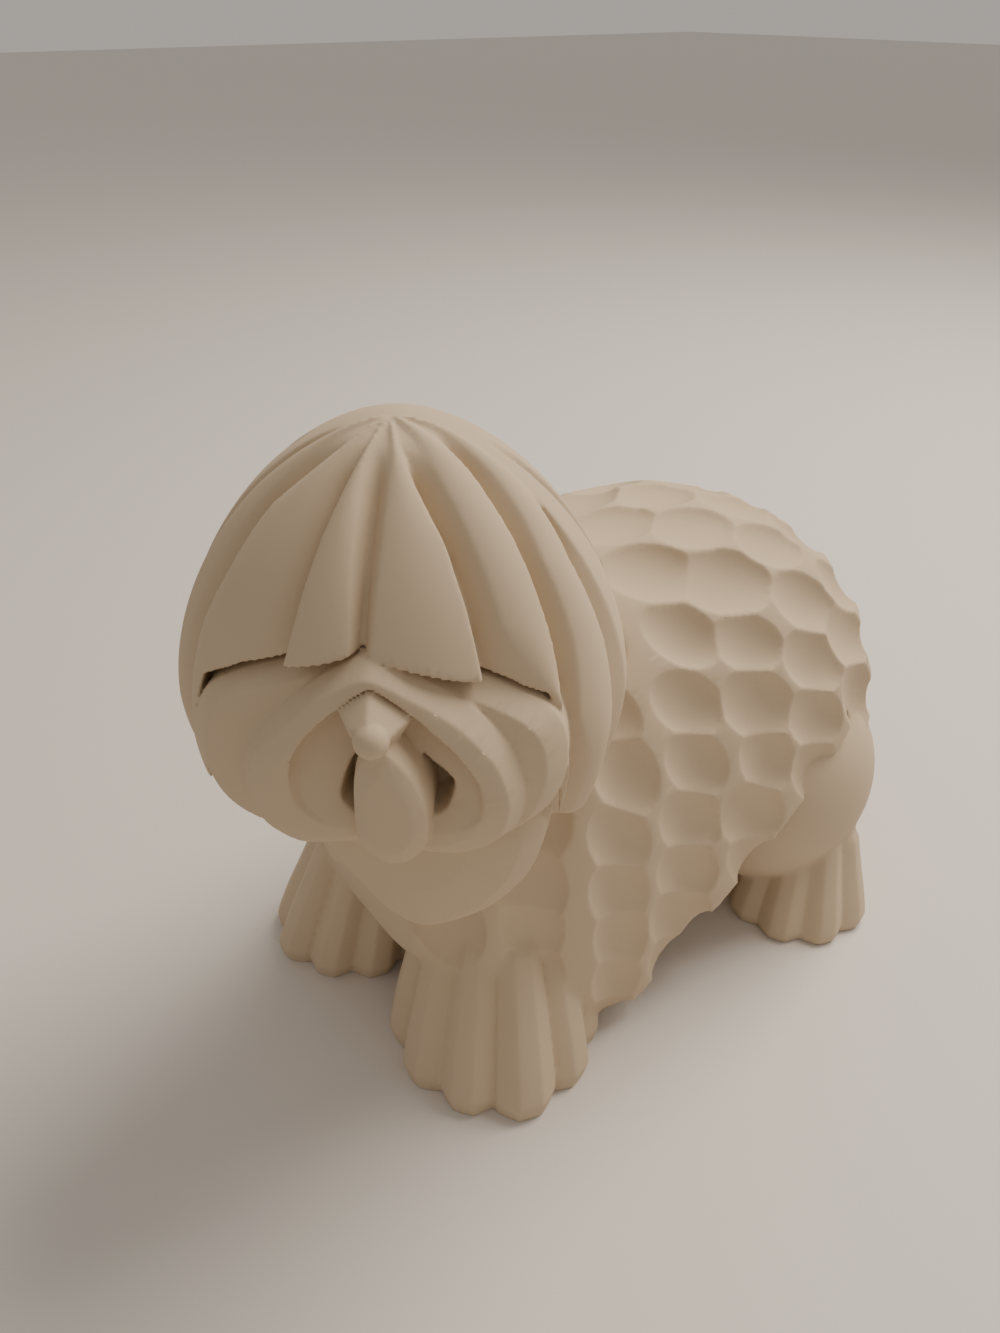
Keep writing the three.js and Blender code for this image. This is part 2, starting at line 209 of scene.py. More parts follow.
def cushion(edge: Array, middle: Sequence[float], stations: Sequence[Sequence[float]],
            lean: float = 0.0) -> Skin:
    """Form on an outline in the face's plane, built up from the head outwards.

    Args:
        edge: Outline as x and z.
        middle: Point that the outline shrinks towards.
        stations: Pairs of the outline's scale and its y.
        lean: Rise of y for each millimetre of z.

    Returns:
        The closed skin.
    """
    reach = edge - np.array(middle)
    rings = []
    for scale, y in stations:
        x, z = reach[:, 0] * scale, reach[:, 1] * scale
        rings.append(np.stack([middle[0] + x, y + lean * z, middle[1] + z], axis=-1))
    return ring_skin(np.array(rings))


# The block of clay: distances to the surface on an even grid

@dataclass
class Lump:
    """One form's distances in its own window of the block."""

    window: tuple[slice, slice, slice]
    depth: Array


class ClayBlock:
    """Even grid of distances to the clay's surface, negative inside the clay."""

    def __init__(self, low: Sequence[float], high: Sequence[float], step: float,
                 steps_in_band: int = 5) -> None:
        """Sets out an empty block.

        Args:
            low: Lowest corner, in millimetres.
            high: Highest corner, in millimetres.
            step: Distance between grid points, in millimetres.
            steps_in_band: Steps on each side of a surface where distances are kept.
        """
        self.step = step
        self.steps_in_band = steps_in_band
        self.band = step * steps_in_band
        self.origin = np.floor(np.array(low) / step).astype(int)
        self.shape = tuple(int(v) for v in np.ceil(np.array(high) / step) - self.origin + 1)
        self.field = np.full(self.shape, self.band, np.float32)
        self.kept: dict[str, Lump] = {}

    def transform(self) -> "openvdb.Transform":
        """Grid spacing as the level-set tools want it."""
        return openvdb.createLinearTransform(voxelSize=self.step)

    def measure(self, skin: Skin) -> Lump:
        """Distances to a skin, in the window around it."""
        grid = openvdb.FloatGrid.createLevelSetFromPolygons(
            skin.points.astype(np.float32), triangles=skin.triangles, quads=skin.quads,
            transform=self.transform(), halfWidth=float(self.steps_in_band))
        low, high = (np.array(v) for v in grid.evalActiveVoxelBoundingBox())
        low = np.maximum(low, self.origin)
        high = np.minimum(high, self.origin + np.array(self.shape) - 1)
        depth = np.empty(tuple(int(v) for v in high - low + 1), np.float32)
        grid.copyToArray(depth, ijk=tuple(int(v) for v in low))
        start = low - self.origin
        window = tuple(slice(int(a), int(a + n)) for a, n in zip(start, depth.shape))
        return Lump(window, depth)

    def places(self, window: tuple[slice, slice, slice]) -> tuple[Array, Array, Array]:
        """Coordinates of a window's grid points, ready to broadcast."""
        axes = [(np.arange(s.start, s.stop) + self.origin[i]) * self.step
                for i, s in enumerate(window)]
        return axes[0][:, None, None], axes[1][None, :, None], axes[2][None, None, :]

    def overlap(self, first: Lump, second: Lump) -> Optional[tuple[tuple, tuple]]:
        """Windows inside two lumps that cover the same grid points."""
        inner_first, inner_second = [], []
        for a, b in zip(first.window, second.window):
            low, high = max(a.start, b.start), min(a.stop, b.stop)
            if low >= high:
                return None
            inner_first.append(slice(low - a.start, high - a.start))
            inner_second.append(slice(low - b.start, high - b.start))
        return tuple(inner_first), tuple(inner_second)

    def carve(self, lump: Lump, tool: Union[Lump, Skin]) -> Lump:
        """Takes a tool's form out of a lump."""
        cutter = self.measure(tool) if isinstance(tool, Skin) else tool
        shared = self.overlap(lump, cutter)
        if shared is not None:
            mine, its = shared
            np.maximum(lump.depth[mine], -cutter.depth[its], out=lump.depth[mine])
        return lump

    def lay(self, name: str, lump: Lump, fillet: float = 0.0) -> None:
        """Joins a lump to the block.

        Args:
            name: Name under which the lump's distances are kept.
            lump: The lump.
            fillet: Width over which its joint is smoothed, in millimetres.
        """
        whole = self.field[lump.window]
        joined = np.minimum(whole, lump.depth)
        if fillet > 0.0:
            close = (np.abs(whole) < self.band * 0.98) & (np.abs(lump.depth) < self.band * 0.98)
            near = np.maximum(fillet - np.abs(whole - lump.depth), 0.0)
            joined -= np.where(close, near * near / (4.0 * fillet), 0.0).astype(np.float32)
        self.field[lump.window] = joined
        self.kept[name] = lump

    def cut(self, tool: Union[Lump, Skin]) -> None:
        """Takes a tool's form out of the whole block."""
        cutter = self.measure(tool) if isinstance(tool, Skin) else tool
        part = self.field[cutter.window]
        self.field[cutter.window] = np.maximum(part, -cutter.depth)

    def stand(self) -> None:
        """Cuts the block level with the floor."""
        height = self.places(tuple(slice(0, n) for n in self.shape))[2]
        np.maximum(self.field, (-height).astype(np.float32), out=self.field)

    def sample(self, values: Array, start: Array, points: Array, step: float,
               outside: float) -> Array:
        """Values of a grid at points between its grid points.

        Args:
            values: The grid.
            start: Index of its first grid point in steps from the frame's origin.
            points: Places, in millimetres.
            step: Its spacing, in millimetres.
            outside: Value beyond the grid.

        Returns:
            One value for each point.
        """
        place = points / step - start
        base = np.floor(place).astype(int)
        part = place - base
        top = np.array(values.shape) - 2
        inside = np.all((base >= 0) & (base <= top), axis=1)
        base = np.clip(base, 0, top)
        total = np.zeros(len(points))
        for corner in range(8):
            bits = np.array([corner & 1, corner >> 1 & 1, corner >> 2 & 1])
            weight = np.prod(np.where(bits, part, 1.0 - part), axis=1)
            index = base + bits
            total += weight * values[index[:, 0], index[:, 1], index[:, 2]]
        return np.where(inside, total, outside)

    def distance(self, name: str, points: Array) -> Array:
        """Distance of points from the surface of a lump that was laid."""
        lump = self.kept[name]
        start = self.origin + np.array([s.start for s in lump.window])
        return self.sample(lump.depth, start, points, self.step, self.band)

    def hollows(self, points: Array, reach: float) -> Array:
        """How sunk each point is: above 0 in hollows, below 0 on ridges.

        Args:
            points: Places on the surface, in millimetres.
            reach: Distance over which the clay around a point counts, in millimetres.

        Returns:
            One value from about -1 to 1 for each point.
        """
        share = np.clip(0.5 - self.field / self.step, 0.0, 1.0)
        thin = 2
        sizes = [n // thin * thin for n in share.shape]
        share = share[:sizes[0], :sizes[1], :sizes[2]]
        coarse = share.reshape(sizes[0] // thin, thin, sizes[1] // thin, thin,
                               sizes[2] // thin, thin).mean(axis=(1, 3, 5))
        spacing = self.step * thin
        half = max(1, int(round(reach / spacing / 2.0)))
        for axis in range(3):
            for _ in range(3):
                coarse = box_blur(coarse, half, axis)
        start = self.origin / thin + (thin - 1) / (2.0 * thin)
        return 2.0 * self.sample(coarse, start, points, spacing, 0.0) - 1.0

    def skin(self) -> Skin:
        """The clay's whole surface."""
        grid = openvdb.FloatGrid(self.band)
        grid.transform = self.transform()
        grid.copyFromArray(self.field, ijk=tuple(int(v) for v in self.origin))
        grid.gridClass = openvdb.GridClass.LEVEL_SET
        points, quads = grid.convertToQuads(isovalue=0.0)
        return Skin(points.astype(float), quads)


def box_blur(values: Array, half: int, axis: int) -> Array:
    """Running mean along one axis.

    Args:
        values: The grid.
        half: Grid points on each side that count.
        axis: The axis.

    Returns:
        The blurred grid.
    """
    pad = [(0, 0)] * values.ndim
    pad[axis] = (half + 1, half)
    total = np.cumsum(np.pad(values, pad, mode="edge"), axis=axis, dtype=np.float64)
    count = values.shape[axis]
    width = 2 * half + 1
    upper = np.take(total, np.arange(width, width + count), axis=axis)
    lower = np.take(total, np.arange(0, count), axis=axis)
    return ((upper - lower) / width).astype(np.float32)


# Frame of the dog and of its turned head

PLACE = np.array([0.1, 7.7, 0.0])


@dataclass(frozen=True)
class HeadFrame:
    """The head's own axes: x to the dog's left, -y forwards, z above the floor."""

    centre: tuple[float, float, float] = (7.1, -38.8, 66.5)
    turn: float = 47.5
    lean: float = 3.0

    def to_dog(self, points: Array) -> Array:
        """Points of the head in the dog's frame."""
        return turned(points, self.turn) + np.array([self.centre[0], self.centre[1], 0.0]) + PLACE

    def to_head(self, points: Array) -> Array:
        """Points of the dog in the head's axes."""
        shifted = points - PLACE - np.array([self.centre[0], self.centre[1], 0.0])
        return turned(shifted, -self.turn)

    def level(self, x: Array, y: Array) -> tuple[Array, Array]:
        """The head's x and y of grid places of the dog."""
        angle = math.radians(self.turn)
        dx, dy = x - PLACE[0] - self.centre[0], y - PLACE[1] - self.centre[1]
        return (dx * math.cos(angle) + dy * math.sin(angle),
                -dx * math.sin(angle) + dy * math.cos(angle))

    def compass(self, points: Array) -> tuple[Array, Array]:
        """Polar angle from the crown and azimuth from the face, in degrees, of head points."""
        arm = leaned(points - np.array([0.0, 0.0, self.centre[2]]), -self.lean)
        polar = np.degrees(np.arccos(np.clip(unit(arm)[..., 2], -1.0, 1.0)))
        return polar, np.degrees(np.arctan2(arm[..., 0], -arm[..., 1]))

    def skin(self, skin: Skin) -> Skin:
        """A head's skin in the dog's frame."""
        return Skin(self.to_dog(skin.points), skin.quads, skin.triangles)


HEAD = HeadFrame()


# Hood of hair

@dataclass(frozen=True)
class Lock:
    """One lock of the hood, by the azimuths of its two edges at given polar angles.

    The edges are stated for the dog's left side, and the right side mirrors them.
    """

    inner: tuple[tuple[float, float], ...]
    outer: tuple[tuple[float, float], ...]
    top: float
    tip: float
    tip_azimuth: float

    def edges(self, polar: Array) -> tuple[Array, Array]:
        """Azimuths of the inner and outer edge at polar angles."""
        inner = np.interp(polar, *zip(*self.inner))
        outer = np.interp(polar, *zip(*self.outer))
        return inner, outer


@dataclass
class Hood:
    """Cap of hair over the eyes, parted in the middle and cut into shingled locks."""

    half_width: float = 27.6
    half_depth: float = 26.5
    rise: float = 33.5
    drop: float = 36.0
    fullness: float = 1.75
    rim_height: float = 57.5
    rim_tilt: float = 8.0
    parting_depth: float = 2.2
    groove_depth: float = 2.6
    crown_cap: float = 10.0
    rim_azimuth: float = 85.0
    back_grooves: int = 3
    back_groove_depth: float = 1.8
    brow: tuple[tuple[float, float], ...] = (
        (0.0, 82.0), (7.0, 80.2), (14.0, 78.0), (19.0, 75.4), (20.5, 71.0))
    brow_back: float = -14.0
    left: tuple[Lock, ...] = (
        Lock(((8, 10), (14, 9), (25, 6.5), (40, 4), (50, 3), (75, 2.6)),
             ((8, 22), (14, 24), (30, 31), (45, 32), (61, 32), (80, 32)), 11.5, 200.0, 16.0),
        Lock(((8, 42), (51, 41), (67, 47), (73, 51)),
             ((8, 69), (26, 61), (44, 57), (63, 54), (73, 52)), 10.0, 74.0, 51.5),
        Lock(((8, 80), (23, 74), (42, 65), (61, 62), (79, 57), (95, 60)),
             ((8, 92), (28, 86), (47, 77), (68, 75), (95, 70)), 12.0, 94.5, 65.0),
    )
    right: tuple[Lock, ...] = (
        Lock(((8, 10), (14, 9), (25, 6.5), (40, 4), (50, 3), (75, 2.6)),
             ((8, 17), (14, 18), (30, 20), (51, 21), (80, 24)), 11.5, 200.0, 12.0),
        Lock(((8, 31), (14, 33), (40, 38), (62, 44.5), (80, 46)),
             ((8, 43), (12, 44), (28, 55), (45, 55), (59, 57), (80, 55)), 10.0, 72.0, 50.0),
        Lock(((8, 62), (30, 64), (60, 65), (90, 66)),
             ((8, 74), (30, 78), (60, 78), (90, 76)), 12.0, 88.0, 71.0),
    )

    def radius(self, direction: Array) -> Array:
        """Distance from the head's centre to the plain hood."""
        level = np.hypot(direction[..., 0] / self.half_width, direction[..., 1] / self.half_depth)
        span = np.where(direction[..., 2] > 0.0, self.rise, self.drop)
        upright = np.abs(direction[..., 2]) / span
        power = self.fullness
        return (level**power + upright**power) ** (-1.0 / power)

    def side_depth(self, polar: Array, azimuth: Array, locks: tuple[Lock, ...]) -> Array:
        """Depth of the carving on one side, for azimuths from 0 at the face to 180.

        Args:
            polar: Polar angles from the crown, in degrees.
            azimuth: Azimuths, in degrees, all positive.
            locks: The side's locks, from the face backwards.

        Returns:
            Depth below the plain hood, in millimetres.
        """
        full = self.groove_depth * ramp(polar, self.crown_cap - 2.0, self.crown_cap + 9.0)
        parting = self.parting_depth * ramp(polar, self.crown_cap - 2.0, self.crown_cap + 9.0)
        inner, _ = locks[0].edges(polar)
        depth = parting * np.clip(1.0 - azimuth / inner, 0.0, 1.0)
        for i, lock in enumerate(locks):
            start, end = lock.edges(polar)
            middle = np.clip((azimuth - start) / np.maximum(end - start, 0.5), 0.0, 1.0)
            depth = depth - 0.45 * (4.0 * middle * (1.0 - middle))
            after = locks[i + 1].edges(polar)[0] if i + 1 < len(locks) else self.rim_azimuth
            floor = end + 1.7
            wall = np.clip((azimuth - end) / 1.7, 0.0, 1.0)
            slope = np.clip((after - azimuth) / np.maximum(after - floor, 0.5), 0.0, 1.0)
            depth = depth + full * np.minimum(wall, slope) * (azimuth > end)
        return depth + self.back_depth(polar, azimuth)

    def back_depth(self, polar: Array, azimuth: Array) -> Array:
        """Depth of the plain grooves behind the rim of the hood."""
        step = (180.0 - self.rim_azimuth) / (self.back_grooves + 0.5)
        cut = self.back_groove_depth * ramp(polar, self.crown_cap + 6.0, self.crown_cap + 26.0)
        depth = np.zeros(np.broadcast(polar, azimuth).shape)
        for i in range(self.back_grooves):
            middle = self.rim_azimuth + step * (i + 0.7)
            depth = depth + cut * np.clip(1.0 - np.abs(azimuth - middle) / 4.0, 0.0, 1.0)
        return depth

    def depth(self, polar: Array, azimuth: Array) -> Array:
        """Depth of the carving all round, for azimuths from -180 to 180."""
        left = self.side_depth(polar, np.abs(azimuth), self.left)
        right = self.side_depth(polar, np.abs(azimuth), self.right)
        return np.where(azimuth >= 0.0, left, right)

    def plain_skin(self, rows: int, columns: int) -> Skin:
        """The carved hood before its rim and brow are cut, in the head's axes."""
        polar = np.linspace(2.0, 140.0, rows)[:, None] * np.ones((1, columns))
        azimuth = np.linspace(-180.0, 180.0, columns, endpoint=False)[None, :] * np.ones((rows, 1))
        t, a = np.radians(polar), np.radians(azimuth)
        arm = np.stack([np.sin(t) * np.sin(a), -np.sin(t) * np.cos(a), np.cos(t)], axis=-1)
        arm = leaned(arm, HEAD.lean)
        reach = self.radius(arm) - self.depth(polar, azimuth)
        points = arm * reach[..., None] + np.array([0.0, 0.0, HEAD.centre[2]])
        return ring_skin(points)

    def build(self, block: ClayBlock) -> Lump:
        """The hood with its slanting rim and gull-wing brow."""
        lump = block.measure(HEAD.skin(self.plain_skin(int(82 / block.step), int(180 / block.step))))
        x, y, z = block.places(lump.window)
        hx, hy = HEAD.level(x, y)
        tilt = math.radians(self.rim_tilt)
        rim = (z - self.rim_height) * math.cos(tilt) + hx * math.sin(tilt)
        np.maximum(lump.depth, -rim, out=lump.depth, casting="same_kind")
        edge = np.interp(np.abs(hx), *zip(*self.brow))
        cut = np.maximum(np.maximum(z - edge, np.abs(hx) - self.brow[-1][0]), hy - self.brow_back)
        np.maximum(lump.depth, -cut, out=lump.depth, casting="same_kind")
        return lump


# Face

@dataclass
class Face:
    """Layers of the face from the brow outwards, the mouth with its tongue, the nose and bib."""

    cheeks: tuple = ((0, 81.5), (8, 79.2), (15, 76.8), (20.3, 73), (21.3, 66), (18.5, 59.5), (12, 56),
                     (0, 54), (-12, 56), (-18.5, 59.5), (-21, 66), (-19.5, 73), (-15, 76.5), (-8, 79))
    moustache: tuple = ((1, 82), (6, 79.8), (11, 76.6), (15.3, 71.8), (17.2, 66), (16, 60.5),
                        (11.5, 57.6), (6, 57.4), (1.5, 59), (-4, 57.8), (-9, 57.4), (-13, 60),
                        (-14.6, 65), (-13.6, 70), (-10, 74), (-4.5, 79))
    arch: tuple = ((1.4, 79.6), (5.5, 77), (9.6, 73.2), (12.6, 68.6), (13.2, 64), (9, 61),
                   (2, 60.8), (-4, 61), (-7.8, 64.5), (-7.6, 70), (-5.6, 73.6), (-2, 77.2))
    mouth: tuple = ((2.2, 75), (6.5, 71.5), (10, 68.4), (9, 65), (5, 63), (0, 63), (-2.8, 65.5),
                    (-1.6, 70))
    tongue: tuple = ((2.4, 75.2), (5.6, 72.4), (7.4, 67.6), (7.3, 62.4), (5.6, 59.7), (3.4, 58.8),
                     (1.2, 59.7), (-0.5, 62.4), (-0.6, 67.6), (0, 72.2))
    bridge: tuple = ((1.4, 79.4), (5.6, 76.6), (4, 73.6), (2, 72.8), (0, 73.6), (-2.1, 77))
    nose: tuple = (2.0, -27.8, 75.6)
    nose_radius: float = 1.9
    bib: tuple = ((4, 62), (15, 61), (19.4, 56), (17.6, 48), (13, 41.6), (8, 38.2), (3.5, 36.8),
                  (-1, 39.5), (-5, 45), (-9, 52), (-11, 58), (-6, 62))

    def form(self, block: ClayBlock, corners: tuple, roundness: float, middle: Sequence[float],
             stations: Sequence[Sequence[float]], lean: float = 0.0) -> Lump:
        """One layer of the face as a lump."""
        skin = cushion(outline(corners, 220, roundness), middle, stations, lean)
        return block.measure(HEAD.skin(skin))

    def build(self, block: ClayBlock) -> None:
        """Lays all parts of the face."""
        arch = self.form(block, self.arch, 0.35, (2, 69), ((1.02, -36), (1, -25.2), (0.92, -24.2)), 0.22)
        mouth = self.form(block, self.mouth, 0.3, (3, 68), ((1.04, -30), (0.9, -20)))
        cheeks = self.form(block, self.cheeks, 0.5, (0, 66), ((1, -6), (1, -18), (0.9, -21), (0.5, -22.5)))
        block.lay("cheeks", block.carve(cheeks, mouth))
        stations = ((1, -10), (1, -21.8), (0.9, -24.6), (0.72, -25.6), (0.3, -26))
        moustache = self.form(block, self.moustache, 0.4, (1.5, 67), stations)
        block.lay("moustache", block.carve(block.carve(moustache, arch), mouth))
        stations = ((0.9, -18), (1, -26), (0.93, -28), (0.6, -29))
        block.lay("tongue", self.form(block, self.tongue, 0.5, (3.4, 66), stations))
        stations = ((1.1, -19), (1, -24.8), (0.55, -27.8))
        block.lay("bridge", self.form(block, self.bridge, 0.1, (1.9, 75.6), stations))
        ball = HEAD.skin(ellipsoid(self.nose, (self.nose_radius,) * 3, 48))
        block.lay("nose", block.measure(ball))
        stations = ((0.9, -2), (1, -13), (0.97, -16), (0.8, -18.6), (0.4, -20))
        block.lay("bib", self.form(block, self.bib, 0.4, (4, 54), stations))


@dataclass
class Ruff:
    """Hair below the hood, in upright locks that join at the throat."""

    radii: tuple[float, float] = (19.5, 18.0)
    x: float = 2.0
    locks: int = 15
    groove: float = 0.09
    stations: tuple = ((0.3, 33), (0.62, 36), (0.84, 43), (0.97, 51), (1, 60), (0.9, 70))

    def build(self, block: ClayBlock) -> Lump:
        """The ruff as a lump."""
        scales, heights = zip(*self.stations)
        height = np.linspace(heights[0], heights[-1], 120)
        scale = np.interp(height, heights, scales)
        turn = np.linspace(0.0, 2.0 * math.pi, 720, endpoint=False)
        wave = np.abs((turn * self.locks / (2.0 * math.pi)) % 1.0 * 2.0 - 1.0)
        reach = scale[:, None] - self.groove * wave[None, :]
        rings = np.stack([self.x + self.radii[0] * reach * np.cos(turn),
                          self.radii[1] * reach * np.sin(turn),
                          height[:, None] * np.ones_like(reach)], axis=-1)
        return block.measure(HEAD.skin(ring_skin(rings)))


# Coat

@dataclass
class Coat:
    """Long coat over the back and flanks, down to a slanting hem, worked over with a gouge."""

    stations: tuple = ((-47, 5, 44, 30), (-44, 14, 54, 20), (-36, 22, 66, 9), (-22, 28, 74, -6),
                       (-4, 28.5, 76, -8), (14, 29, 74.5, -6), (30, 28, 69, 0), (41, 24.5, 61, 4),
                       (48, 17, 51, 10), (51.5, 6, 40, 22))
    squareness: float = 2.3
    flank_squareness: float = 4.2
    waist: float = 0.4
    hem_start: tuple[float, float] = (-10.6, 6.4)
    hem_end: tuple[float, float] = (32.7, 40.0)
    hem_floor: float = 3.0
    hem_rear: tuple = ((39.0, 29.0), (70.0, 27.0))
    mark_length: float = 20.0
    mark_width: float = 10.8
    mark_depth: float = 1.8
    mark_rows: tuple = (-42, -31, -18, -5, 8, 21, 33, 42.5, 49.5)
    mark_pitch: float = 9.4

    def value(self, y: Array, column: int) -> Array:
        """One measure of the coat's section at places along the body."""
        table = np.array(self.stations, float)
        knots, values = table[:, 0], table[:, column]
        i = np.clip(np.searchsorted(knots, y), 1, len(knots) - 1)
        t = np.clip((y - knots[i - 1]) / (knots[i] - knots[i - 1]), 0.0, 1.0)
        padded = np.concatenate([values[:1], values, values[-1:]])
        slope = (padded[2:] - padded[:-2]) / 2.0
        return ((2 * t**3 - 3 * t**2 + 1) * values[i - 1] + (t**3 - 2 * t**2 + t) * slope[i - 1]
                + (3 * t**2 - 2 * t**3) * values[i] + (t**3 - t**2) * slope[i])

    def point(self, y: Number, angle: Number) -> Array:
        """Points of the plain coat, in the dog's frame before its shift.

        Args:
            y: Places along the body.
            angle: Angles from the back's ridge, in radians.

        Returns:
            The points.
        """
        y, angle = np.broadcast_arrays(np.asarray(y, float), np.asarray(angle, float))
        half, top, bottom = (self.value(y, column) for column in (1, 2, 3))
        waist = bottom + (top - bottom) * self.waist
        sine, cosine = np.sin(angle), np.cos(angle)
        power = 2.0 / np.where(cosine > 0.0, self.squareness, self.flank_squareness)
        side = np.sign(sine) * np.abs(sine) ** power
        rise = np.sign(cosine) * np.abs(cosine) ** power
        height = waist + np.where(rise > 0.0, top - waist, waist - bottom) * rise
        return np.stack([half * side, y, height], axis=-1)

    def normal(self, y: float, angle: float) -> Array:
        """Outward normal of the plain coat."""
        along = self.point(y + 0.5, angle) - self.point(y - 0.5, angle)
        around = self.point(y, angle + 0.02) - self.point(y, angle - 0.02)
        return -unit(np.cross(along, around))

    def hem_height(self, y: Number) -> Number:
        """Height of the hem along the body."""
        slope = (self.hem_end[1] - self.hem_start[1]) / (self.hem_end[0] - self.hem_start[0])
        slant = np.maximum(self.hem_floor, self.hem_start[1] + (y - self.hem_start[0]) * slope)
        slant = np.minimum(slant, self.hem_end[1])
        heights = np.interp(y, (self.hem_end[0], self.hem_rear[0][0], self.hem_rear[1][0]),
                            (self.hem_end[1], self.hem_rear[0][1], self.hem_rear[1][1]))
        return np.where(np.asarray(y) > self.hem_end[0], heights, slant)

    def angle_at(self, y: float, distance: float) -> float:
        """Angle of the section at a distance from the ridge, measured over the surface."""
        angles = np.arange(0.0, math.pi, 0.02)
        steps = np.linalg.norm(np.diff(self.point(y, angles), axis=0), axis=-1)
        return float(np.interp(abs(distance), np.concatenate([[0.0], np.cumsum(steps)]), angles)
                     ) * math.copysign(1.0, distance)

    def mark(self, y: float, angle: float, seed: int) -> tuple[Array, Array, Array, float]:
        """Centre, run, rise and size of one gouge mark."""
        normal = self.normal(y, angle)
        around = abs(angle) / (math.pi / 2.0)
        front = 1.0 - float(ramp(y, -34.0, 10.0))
        fall = math.radians(18.0 + 34.0 * min(around, 1.0) + 26.0 * front + 7.0 * uneven(seed))
        back = np.array([0.0, math.cos(fall), -math.sin(fall)])
        run = unit(back - normal * back.dot(normal))
        run = unit(run - 0.1 * normal)
        cross = unit(np.cross(normal, run))
        centre = self.point(y, angle) + normal * self.mark_depth * 0.7
        return centre, run, np.cross(run, cross), 1.0 + 0.12 * uneven(seed + 3)

    def marks(self) -> list[tuple[Array, Array, Array, float]]:
        """All gouge marks, in staggered rows that run back and down from the neck."""
        found = []
        for row, y in enumerate(self.mark_rows):
            for i in range(-11, 12):
                seed = row * 31 + i
                place = y + 1.4 * uneven(seed)
                angle = self.angle_at(place, (i + (row % 2) / 2.0) * self.mark_pitch)
                high = self.point(place, angle)[2] > self.hem_height(place) - 3.0
                if abs(angle) < math.pi * 0.74 and high:
                    found.append(self.mark(place, angle, seed))
        return found

    def plain_skin(self, rows: int, columns: int) -> Skin:
        """The coat before it is gouged and its hem is cut."""
        first, last = self.stations[0][0], self.stations[-1][0]
        turn = np.linspace(0.0, math.pi, rows)
        y = (first + last) / 2.0 - np.cos(turn) * (last - first) / 2.0
        angle = np.linspace(0.0, 2.0 * math.pi, columns, endpoint=False)
        angle = np.where(angle > math.pi, angle - 2.0 * math.pi, angle)
        return ring_skin(self.point(y[:, None], angle[None, :]) + PLACE)

    def build(self, block: ClayBlock, marks: Skin) -> Lump:
        """The gouged coat with its hem."""
        lump = block.measure(self.plain_skin(int(80 / block.step), int(130 / block.step)))
        self.plain = Lump(lump.window, lump.depth.copy())
        block.carve(lump, marks)
        x, y, z = block.places(lump.window)
        slope = (self.hem_end[1] - self.hem_start[1]) / (self.hem_end[0] - self.hem_start[0])
        below = (z - self.hem_height(y - PLACE[1])) / math.hypot(1.0, slope)
        np.maximum(lump.depth, -below.astype(np.float32), out=lump.depth)
        channel = ellipsoid(np.array([0.0, -10.0, 0.0]) + PLACE, (8.0, 60.0, 12.0))
        return block.carve(lump, channel)


@dataclass
class Underbody:
    """Belly, rump and haunches below the coat's hem."""

    forms: tuple = (
        ("belly", (0, 6, 36), (20, 38, 22)),
        ("rump", (0, 30, 32), (25, 17.5, 19)),
        ("left_haunch", (15, 29, 23), (16.2, 18.5, 20)),
        ("right_haunch", (-15, 29, 23), (16.2, 18.5, 20)),
    )

    def build(self, block: ClayBlock) -> None:
        """Lays the forms of the underbody."""
        for name, centre, radii in self.forms:
            block.lay(name, block.measure(ellipsoid(np.array(centre) + PLACE, radii)))


@dataclass
class Foot:
    """A leg as a bell that stands on the floor, with toes cut by flutes."""

    name: str
    x: float
    y: float
    radius: float
    height: float
    flutes: int
    lean: float
    set_back: float = 4.0
    flute_depth: float = 0.12
    stations: tuple = ((0.5, 0), (0.95, 0), (1, 0.09), (0.94, 0.26), (0.82, 0.52), (0.7, 0.8), (0.35, 1.1))

    def build(self, block: ClayBlock) -> Lump:
        """The leg as a lump."""
        rows, columns = 90, 540
        turn = np.linspace(0.0, 1.0, columns, endpoint=False)
        cell = turn * self.flutes
        wave = np.clip(1.0 - np.abs((cell + 0.5) % 1.0 - 0.5) * 3.0, 0.0, 1.0)
        bulge = np.array([uneven(i + self.x) for i in range(self.flutes)])
        swell = 1.0 + 0.04 * bulge[cell.astype(int) % self.flutes]
        level = np.linspace(0.0, 1.1, rows)
        scale = np.interp(level, [s[1] for s in self.stations[1:]], [s[0] for s in self.stations[1:]])
        groove = self.flute_depth * wave[None, :] * (1.0 - 0.4 * level[:, None])
        reach = self.radius * (scale[:, None] - groove) * swell[None, :]
        angle = 2.0 * math.pi * turn[None, :]
        centre_x = self.x * (1.0 - self.lean * level[:, None])
        centre_y = self.y + self.set_back * level[:, None]
        rings = np.stack([centre_x + reach * np.cos(angle), centre_y + reach * np.sin(angle),
                          self.height * level[:, None] * np.ones_like(reach)], axis=-1)
        return block.measure(ring_skin(rings + PLACE))


FEET = (
    Foot("front_left_foot", 16.6, -32.0, 16.6, 30.0, 10, 0.3),
    Foot("front_right_foot", -17.2, -37.3, 15.0, 30.0, 10, 0.3),
    Foot("hind_left_foot", 24.0, 28.5, 12.7, 19.0, 9, 0.1),
    Foot("hind_right_foot", -24.0, 28.5, 12.7, 19.0, 9, 0.1),
)


# Geometry Nodes: tools that repeat over the surface

